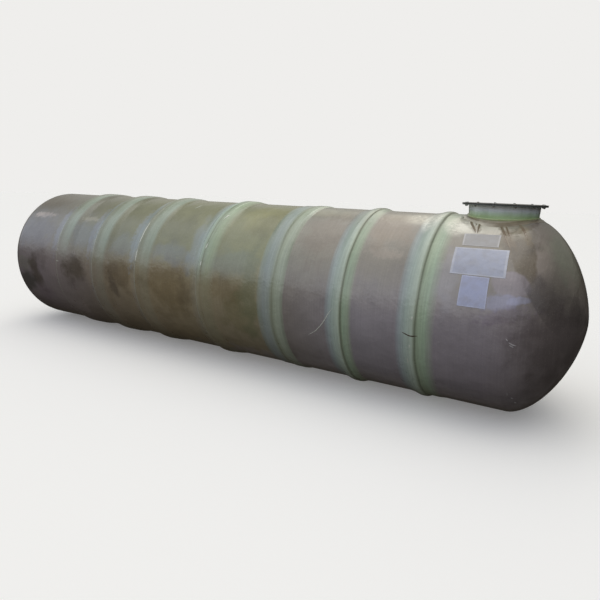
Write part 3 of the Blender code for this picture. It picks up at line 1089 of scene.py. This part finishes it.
# %% [markdown]
# ## The collar round the neck's base
#
# The neck stands in a saddle, so strips of mat in brown resin were laid round it up to one level,
# finished there with a bright green bead of resin. The collar's surface starts at that level on
# the neck and flares down to the shell: its height over the shell is gap x (1 - s) ** 2.5 plus the
# mat's thickness, with s from 0 at the neck to 1 at the ragged outer edge. The mat sagged a little
# on the tank's two sides before it set. On the side towards the ribs its outer part is painted
# pale, a painted highlight.

# %% Collar
collar_low, collar_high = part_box("manway_collar")
COLLAR_WIDTH = collar_high.x - NECK_X - NECK_RADIUS
COLLAR_START = NECK_RADIUS + 0.001
COLLAR_INSIDE = NECK_RADIUS - 0.004
COLLAR_SUNK = -0.003
RAGGED = 0.12
BEAD_Z = 1.853
BEAD_DIP = 0.022
BEAD_RADIUS = 0.0055
MAT_THICKNESS = 0.006


def collar_top(foot):
    """Height of the collar's upper edge: level, less dip x sin(s) ** 2, and clear of the shell."""
    return np.maximum(BEAD_Z - BEAD_DIP * np.sin(SPIN) ** 2, foot + 0.004)


def over_shell(distance, height):
    """Points round the neck that stand over the shell: z = axis + sqrt(r ** 2 - y ** 2) + h."""
    x, y = NECK_X + distance * np.cos(SPIN), distance * np.sin(SPIN)
    return np.stack([x, y, AXIS_Z + np.sqrt(shell_radius(x) ** 2 - y ** 2) + height], -1)


def collar_rows():
    """From the neck's side at the bead, flaring down over the mat to a ragged edge, and back."""
    out = np.linspace(0.0, 1.0, 28)[:, None]
    spread = COLLAR_WIDTH * out ** 1.3 * (1 - RAGGED * wander(SPIN, 61).clip(0))
    distance = COLLAR_START + spread
    foot = over_shell(distance[0], 0.0)[:, 2]
    gap = collar_top(foot) - foot
    mat = MAT_THICKNESS * (1 - smooth_step((out - 0.6) / 0.4)) + 0.0006
    upper = over_shell(distance, gap * (1 - out) ** 2.5 + mat)
    lower = over_shell(distance[::-9], COLLAR_SUNK)
    inner = over_shell(np.full((1, len(SPIN)), COLLAR_INSIDE), COLLAR_SUNK)
    rim = inner.copy()
    rim[..., 2] = upper[:1, :, 2] - 0.001
    across = spread.mean(1)
    across = np.concatenate([across, across[::-9], [0.0, 0.0]])
    return np.concatenate([upper, lower, inner, rim]), across


def bead_rows():
    """A ring of resin round the neck: a circle of radius r carried round it, slightly uneven."""
    angle = circle(10)[:, None]
    size = BEAD_RADIUS * (1 + 0.25 * wander(SPIN, 62))
    foot = over_shell(NECK_RADIUS, 0.0)[:, 2]
    level = collar_top(foot) + MAT_THICKNESS + 0.003 * np.cos(SPIN + 2.2)
    distance = COLLAR_START + size * np.cos(angle)
    return np.stack([NECK_X + distance * np.cos(SPIN), distance * np.sin(SPIN),
                     level + 1.6 * size * np.sin(angle)], -1)


def collar_resin():
    """Brown resin over mat, greener near the neck, blotched, with a pale painted highlight on the side
    towards the ribs.
    """
    made, tree = new_material("brown resin over mat")
    coordinates = add(tree, "TexCoord")
    place = coordinates.outputs["Object"]
    across = add(tree, "SeparateXYZ", [coordinates.outputs["UV"]])
    x = add(tree, "SeparateXYZ", [place])
    blots = add(tree, "TexNoise", [place, 18.0, 4.0])
    edge = add(tree, "Math", [blots, 0.010, across], operation="MULTIPLY_ADD")
    share = add(tree, "MapRange", [edge, 0.005, 0.005 + COLLAR_WIDTH])
    colour = add(tree, "ValToRGB", [share], [
        (0.0, srgb("a09e78")), (0.15, srgb("978b72")), (0.75, srgb("978b78")), (1.0, srgb("a89d89")),
    ])
    # Painted highlight: the outer part of the collar, on the side towards the ribs, turns pale.
    painted_highlight_share = add(tree, "MapRange", [share, 0.22, 0.50, 0.0, 0.85], interpolation_type="SMOOTHSTEP")
    inward = add(tree, "MapRange", [x, NECK_X + 0.08, NECK_X - 0.12],
                 interpolation_type="SMOOTHSTEP")
    colour = add(tree, "Mix", [product(tree, [painted_highlight_share, inward]), colour, srgb("e6dfce")],
                 data_type="RGBA")
    glossy_skin(tree, mottled(tree, colour, blots, 0.8, 1.15), place, 0.3)
    return made


rows, across = collar_rows()
new_piece("manway_collar_wrap", [row_mesh(rows, across=across)], collar_resin(),
          ["manway_collar"])
new_piece("manway_bead", [row_mesh(bead_rows())],
          blotched_resin("lime green resin bead", "a5ba80", "c6d6a0", 0.25, 25.0, 2.0))

# %% [markdown]
# ## Runs, strokes and scuffs
#
# Resin ran down from the collar and set as brown runs. A dark stroke crosses the sixth rib, a long
# scratch curves below the fifth, and white scuffs lie low on the right end. Along the steep flank
# of four ribs a thin pale ridge is a painted highlight of the crest, and short pale beads on ribs 3
# and 4 and beside rib 3 are painted glints. Each is a shallow ridge along a few points on the
# shell, its width and height tapering to nothing at both ends.

# %% Ridges on the shell
RIDGE_SUNK = 0.0012


def skin_radius(x, turn):
    """Radius of the finished surface: the shell and whichever rib lies over it."""
    height = sum(rib.height(x, turn) for rib in RIBS)
    return shell_radius(x) + LIFT + height


def ridge_rows(points, width, height, head, tail):
    """A half ellipse carried along a line of (x, turn in degrees), tapered to both ends.

    Its size grows as sqrt(s / head) and falls as sqrt((1 - s) / tail), s running from 0 to 1.
    """
    points = np.array(points, float)
    length = np.linspace(0, 1, len(points))
    s = np.linspace(0, 1, 6 * len(points) + 6)
    x = np.interp(s, length, points[:, 0])
    turn = np.radians(np.interp(s, length, points[:, 1]))
    for _ in range(6):
        x[1:-1] = (x[:-2] + 2 * x[1:-1] + x[2:]) / 4
        turn[1:-1] = (turn[:-2] + 2 * turn[1:-1] + turn[2:]) / 4
    step_x, step_turn = np.gradient(x), SHELL_RADIUS * np.gradient(turn)
    size = np.hypot(step_x, step_turn)
    taper = (np.minimum(s / head, 1) * np.minimum((1 - s) / tail, 1)).clip(0.001) ** 0.5
    angle = circle(12)
    aside = 0.5 * width * taper[:, None] * np.cos(angle)
    rise = height * taper[:, None] * np.sin(angle).clip(0) - RIDGE_SUNK * (np.sin(angle) < -0.1)
    place_x = x[:, None] - aside * (step_turn / size)[:, None]
    place_turn = turn[:, None] + aside * (step_x / size)[:, None] / SHELL_RADIUS
    return rings(place_x, skin_radius(place_x, place_turn) + rise, place_turn)


# Each ridge: its points (x in m, turn in degrees), its width and its height (m).
RUNS = [
    ([(2.800, 72), (2.822, 68.4), (2.852, 64.5), (2.876, 61.5), (2.895, 58.8)], 0.022, 0.0018),
    ([(2.886, 72), (2.892, 69.1), (2.898, 65.5), (2.906, 61.5), (2.914, 58.2)], 0.019, 0.0018),
    ([(2.846, 71), (2.862, 68.5), (2.868, 66)], 0.010, 0.0010),
    ([(3.060, 71), (3.096, 65.5), (3.150, 57.6), (3.194, 52.0), (3.231, 47.4)], 0.021, 0.0010),
    ([(3.100, 71), (3.136, 65.5), (3.184, 58), (3.226, 51.8)], 0.014, 0.0008),
    ([(3.225, 71), (3.262, 67), (3.300, 61.5), (3.340, 56.2)], 0.024, 0.0009),
]
STROKES = [
    ([(2.443, -6.9), (2.480, -7.3), (2.518, -7.9), (2.555, -8.0), (2.591, -7.8)], 0.011, 0.0010),
]
SCRATCHES_AND_GLINTS = [
    ([(1.752, 1.2), (1.690, -3.6), (1.622, -10.8), (1.540, -16.5), (1.445, -20.6)], 0.0075, 0.0006),
    ([(2.536, 3.0), (2.534, 1.2)], 0.010, 0.0008),
    ([(2.522, -13.4), (2.519, -15.0)], 0.010, 0.0008),
    ([(2.500, -22.0), (2.498, -26.0)], 0.007, 0.0008),
    # From here to the bead at 0.128, painted glints: pale beads on ribs 3 and 4 and beside rib 3.
    ([(-0.946, 11.0), (-0.943, 15.0), (-0.940, 21.0)], 0.020, 0.0016),
    ([(-0.938, 25.0), (-0.932, 34.0), (-0.925, 44.0)], 0.014, 0.0012),
    ([(-0.475, 65.5), (-0.445, 72.0)], 0.014, 0.0008),
    ([(0.070, 15.0), (0.074, 18.0)], 0.014, 0.0010),
    ([(0.086, 27.0), (0.092, 31.0)], 0.010, 0.0008),
    ([(0.128, 53.0), (0.140, 57.0), (0.150, 58.0)], 0.012, 0.0010),
    ([(-2.450, 3.4), (-2.380, 3.5)], 0.008, 0.0006),
]
SCUFFS = [
    ([(3.322, -1.3), (3.338, -2.4)], 0.008, 0.0006),
    ([(3.345, -3.1), (3.372, -4.3), (3.402, -4.8)], 0.009, 0.0006),
    ([(3.352, -4.6), (3.385, -5.8)], 0.007, 0.0006),
    ([(3.376, -41.2), (3.392, -42.8)], 0.009, 0.0006),
    ([(3.398, -47.5), (3.412, -49.5)], 0.010, 0.0006),
    ([(3.350, -36.0), (3.352, -39.0)], 0.006, 0.0006),
]
# Painted highlights: pale lines along the steep flank of ribs 1 to 4.
CREST_HIGHLIGHTS = [
    (line, 0.012, 0.0008)
    for line in [rib.crest_line(-62, 48) for rib in RIBS[:3]] + [RIBS[3].crest_line(-62, 10, 0.3)]
]
EVEN = (0.3, 0.3)
DRIP = (0.05, 0.6)
for name, ridges, ends, slot, finish in (
    ("crest_highlights", CREST_HIGHLIGHTS, EVEN, "rib_laminate",
     ("pale painted crest highlight", "9b9e8c", "b9bbab", 0.3)),
    ("resin_runs", RUNS, DRIP, "collar_laminate",
     ("brown resin runs", "7a6956", "8f7f6a", 0.25)),
    ("dark_stroke", STROKES, EVEN, "collar_laminate",
     ("dark brown resin stroke", "3b2d20", "57422d", 0.4)),
    ("scratch_and_glint_beads", SCRATCHES_AND_GLINTS, EVEN, "rib_laminate",
     ("pale resin beads and painted glints", "cdd1c2", "eaece2", 0.25)),
    ("white_scuffs", SCUFFS, EVEN, "mauve_laminate",
     ("white scuffed resin", "a9a5a6", "cfcccd", 0.5)),
):
    parts = [row_mesh(ridge_rows(*ridge, *ends), loop=False) for ridge in ridges]
    new_piece(name, parts, blotched_resin(*finish))

# %% [markdown]
# ## The three sheets
#
# Three plain films were laid on the wet laminate beside the manway and sealed under a coat of
# resin. Each is a thin sheet that follows the shell, a little wrinkled.

# %% Blank sheets
# Each sheet: its four corners (x in m, turn in radians), then its panel, its border and how much
# grime clouds it.
SHEETS = {
    "upper_sheet": (((2.808, 1.000), (3.120, 1.011), (3.131, 0.837), (2.825, 0.833)),
                    ("clear film under resin", "a3a1a3", "c0bebf", 0.45)),
    "middle_sheet": (((2.776, 0.802), (3.228, 0.812), (3.247, 0.513), (2.789, 0.510)),
                     ("white film under resin", "aeb3c7", "c4c7d5", 0.35)),
    "lower_sheet": (((2.897, 0.505), (3.123, 0.505), (3.133, 0.213), (2.898, 0.213)),
                    ("lilac white film under resin", "acb2d2", "babfdb", 0.3)),
}
SHEET_LIFT = 0.0005
WRINKLE = 0.0003
FILM = 0.0002


def sheet_film(name, code, border, grime):
    """Film with a paler border round a plain panel, clouded by the resin over it."""
    made, tree = new_material(name)
    coordinates = add(tree, "TexCoord")
    place = coordinates.outputs["Object"]
    centred = add(tree, "VectorMath", [coordinates.outputs["UV"], (0.5, 0.5, 0.0)],
                  operation="SUBTRACT")
    aside = add(tree, "VectorMath", [centred], operation="ABSOLUTE")
    sides = add(tree, "SeparateXYZ", [aside]).outputs
    furthest = add(tree, "Math", [sides["X"], sides["Y"]], operation="MAXIMUM")
    outside = add(tree, "MapRange", [furthest, 0.448, 0.468])
    panel = add(tree, "Mix", [outside, srgb(code), srgb(border)], data_type="RGBA")
    clouds = add(tree, "TexNoise", [place, 14.0, 5.0])
    cover = add(tree, "MapRange", [clouds, 0.42, 0.75, 0.0, grime])
    colour = add(tree, "Mix", [cover, panel, srgb("938b84")], data_type="RGBA")
    glossy_skin(tree, colour, place, 0.32)
    return made


def new_sheet(name, corners, look):
    """A bilinear patch between four (x, turn) corners, wrinkled, lying on the shell."""
    u, v = np.meshgrid(np.linspace(0, 1, 33), np.linspace(0, 1, 25))
    a, b, c, d = (np.array(corner)[:, None, None] for corner in corners)
    x, turn = (a * (1 - u) + b * u) * (1 - v) + (d * (1 - u) + c * u) * v
    wrinkle = WRINKLE * (np.sin(31 * u + 9 * v) * np.sin(17 * v + 5 * u) + 1)
    points = rings(x, shell_radius(x) + SHEET_LIFT + wrinkle, turn)
    index = np.arange(u.size).reshape(u.shape)
    faces = np.stack([index[:-1, :-1], index[:-1, 1:], index[1:, 1:], index[1:, :-1]], -1)
    faces = faces.reshape(-1, 4)[:, ::-1]
    shares = np.stack([u, v], -1).reshape(-1, 2)[faces]
    piece = new_object(name, points.reshape(-1, 3), faces.tolist(), shares, look, "share")
    thick = piece.modifiers.new("film", "SOLIDIFY")
    thick.thickness = FILM
    thick.offset = 1.0
    piece.modifiers.new("even faces", "WEIGHTED_NORMAL")
    print(name, "outward" if piece.data.polygons[0].normal.y < 0 else "inward")


for name, (corners, finish) in SHEETS.items():
    new_sheet(name, corners, sheet_film(*finish))

# %% [markdown]
# ## Floor, light and camera
#
# A pale floor and one soft sky. The sky is brightest overhead and brown below the horizon, as
# outdoors, which gives the round side its fall from light to dark. The floor is hidden from the
# light that reaches the tank, so that it doesn't fill in the shaded belly.

# %% Floor
scene = bpy.context.scene
bpy.ops.mesh.primitive_plane_add(size=160.0, location=(0.0, 0.0, -0.001))
floor = bpy.context.object
floor.name = "pale_floor"
floor_look, tree = new_material("pale floor")
paint = add(tree, "BsdfPrincipled", {
    "Base Color": srgb("f4f3f2"), "Roughness": 0.9,
    "Emission Color": srgb("ffffff"), "Emission Strength": 0.16,
})
add(tree, "OutputMaterial", [paint])
floor.data.materials.append(floor_look)
floor.visible_diffuse = False
floor.visible_glossy = False
floor.visible_shadow = False
print("floor:", floor.dimensions[:])

# %% Sky
SKY_STRENGTH = 3.0
SKY_TONES = [
    (-1.00, (0.015, 0.013, 0.011)),
    (-0.08, (0.020, 0.018, 0.016)),
    (0.05, (0.040, 0.036, 0.032)),
    (0.15, (0.205, 0.210, 0.220)),
    (0.35, (0.222, 0.236, 0.262)),
    (0.60, (0.225, 0.238, 0.262)),
    (0.84, (0.330, 0.332, 0.332)),
    (1.00, (0.640, 0.625, 0.585)),
]
FAR_SIDE = ((1, -0.15, 0.15), (2, 0.85, 0.65))
FAR_SIDE_TINT = (0.36, 0.34, 0.28)
# Soft patches of light added to the sky: their colour, and for each edge the axis of the
# direction (x, y and z as 0, 1 and 2), where the light starts and where it is full.
SKY_LIGHTS = [
    ((0.34, 0.33, 0.29, 1.0),
     ((0, -0.52, -0.30), (0, 0.05, -0.12), (1, 0.35, 0.62), (2, 0.35, 0.60))),
    ((0.085, 0.084, 0.083, 1.0),
     ((0, -0.55, -0.20), (1, -0.25, -0.55), (2, -0.15, 0.00), (2, 0.75, 0.50))),
    ((0.055, 0.054, 0.050, 1.0),
     ((0, -0.88, -0.74), (0, -0.08, -0.25), (1, 0.10, 0.45), (2, -0.12, 0.06), (2, 0.62, 0.40))),
]
PLAIN = srgb("efeeec")
world = bpy.data.worlds.new("soft sky")
scene.world = world
world.use_nodes = True
tree = world.node_tree
tree.nodes.clear()
direction = add(tree, "TexCoord").outputs["Generated"]
axes = add(tree, "SeparateXYZ", [direction])
ragged = add(tree, "TexNoise", [direction, 5.0, 3.0])
skyline = add(tree, "Math", [ragged, 0.10, axes.outputs["Z"]], operation="MULTIPLY_ADD")
height = add(tree, "MapRange", [skyline, -0.95, 1.05])
sky = add(tree, "ValToRGB", [height], [((at + 1) / 2, (*tone, 1.0)) for at, tone in SKY_TONES])
darker = add(tree, "MapRange", [axes.outputs["X"], -0.6, 1.0, 1.15, 0.40])
shaded = add(tree, "VectorMath", [sky, darker], operation="SCALE")


def window(edges):
    """1 inside the given ranges of a direction's x, y and z, easing to 0 over each soft edge."""
    return product(tree, [
        add(tree, "MapRange", [axes.outputs[axis], outside, inside], interpolation_type="SMOOTHSTEP")
        for axis, outside, inside in edges
    ])


dimmed = add(tree, "VectorMath", [shaded, FAR_SIDE_TINT], operation="MULTIPLY")
light = add(tree, "Mix", [window(FAR_SIDE), shaded, dimmed], data_type="RGBA")
for colour, edges in SKY_LIGHTS:
    light = add(tree, "Mix", [window(edges), light, colour], data_type="RGBA", blend_type="ADD")
seen = add(tree, "LightPath").outputs["Is Camera Ray"]
lit = add(tree, "Background", [light, SKY_STRENGTH])
plain = add(tree, "Background", [PLAIN, 1.0])
both = add(tree, "MixShader", [seen, lit, plain])
add(tree, "OutputWorld", [both])
scene.view_settings.view_transform = "Standard"
scene.view_settings.look = "None"
print("sky:", len(tree.nodes), "nodes")

# %% Camera
EYE = np.array([4.0783, -5.4164, 2.0490])
FORWARD = np.array([-0.50477, 0.83971, -0.20023])
ROLL = math.radians(2.018)
LENS = 32.61
level = np.cross(FORWARD, [0.0, 0.0, 1.0])
level /= np.linalg.norm(level)
upright = np.cross(level, FORWARD)
right = math.cos(ROLL) * level + math.sin(ROLL) * upright
up = math.cos(ROLL) * upright - math.sin(ROLL) * level
columns = np.stack([right, up, -FORWARD / np.linalg.norm(FORWARD), EYE], -1)
camera = bpy.data.objects.new("camera", bpy.data.cameras.new("camera"))
scene.collection.objects.link(camera)
camera.matrix_world = Matrix([*columns.tolist(), [0.0, 0.0, 0.0, 1.0]])
camera.data.lens = LENS
camera.data.sensor_width = 36.0
scene.camera = camera
print("camera at", np.round(EYE, 3), "m")
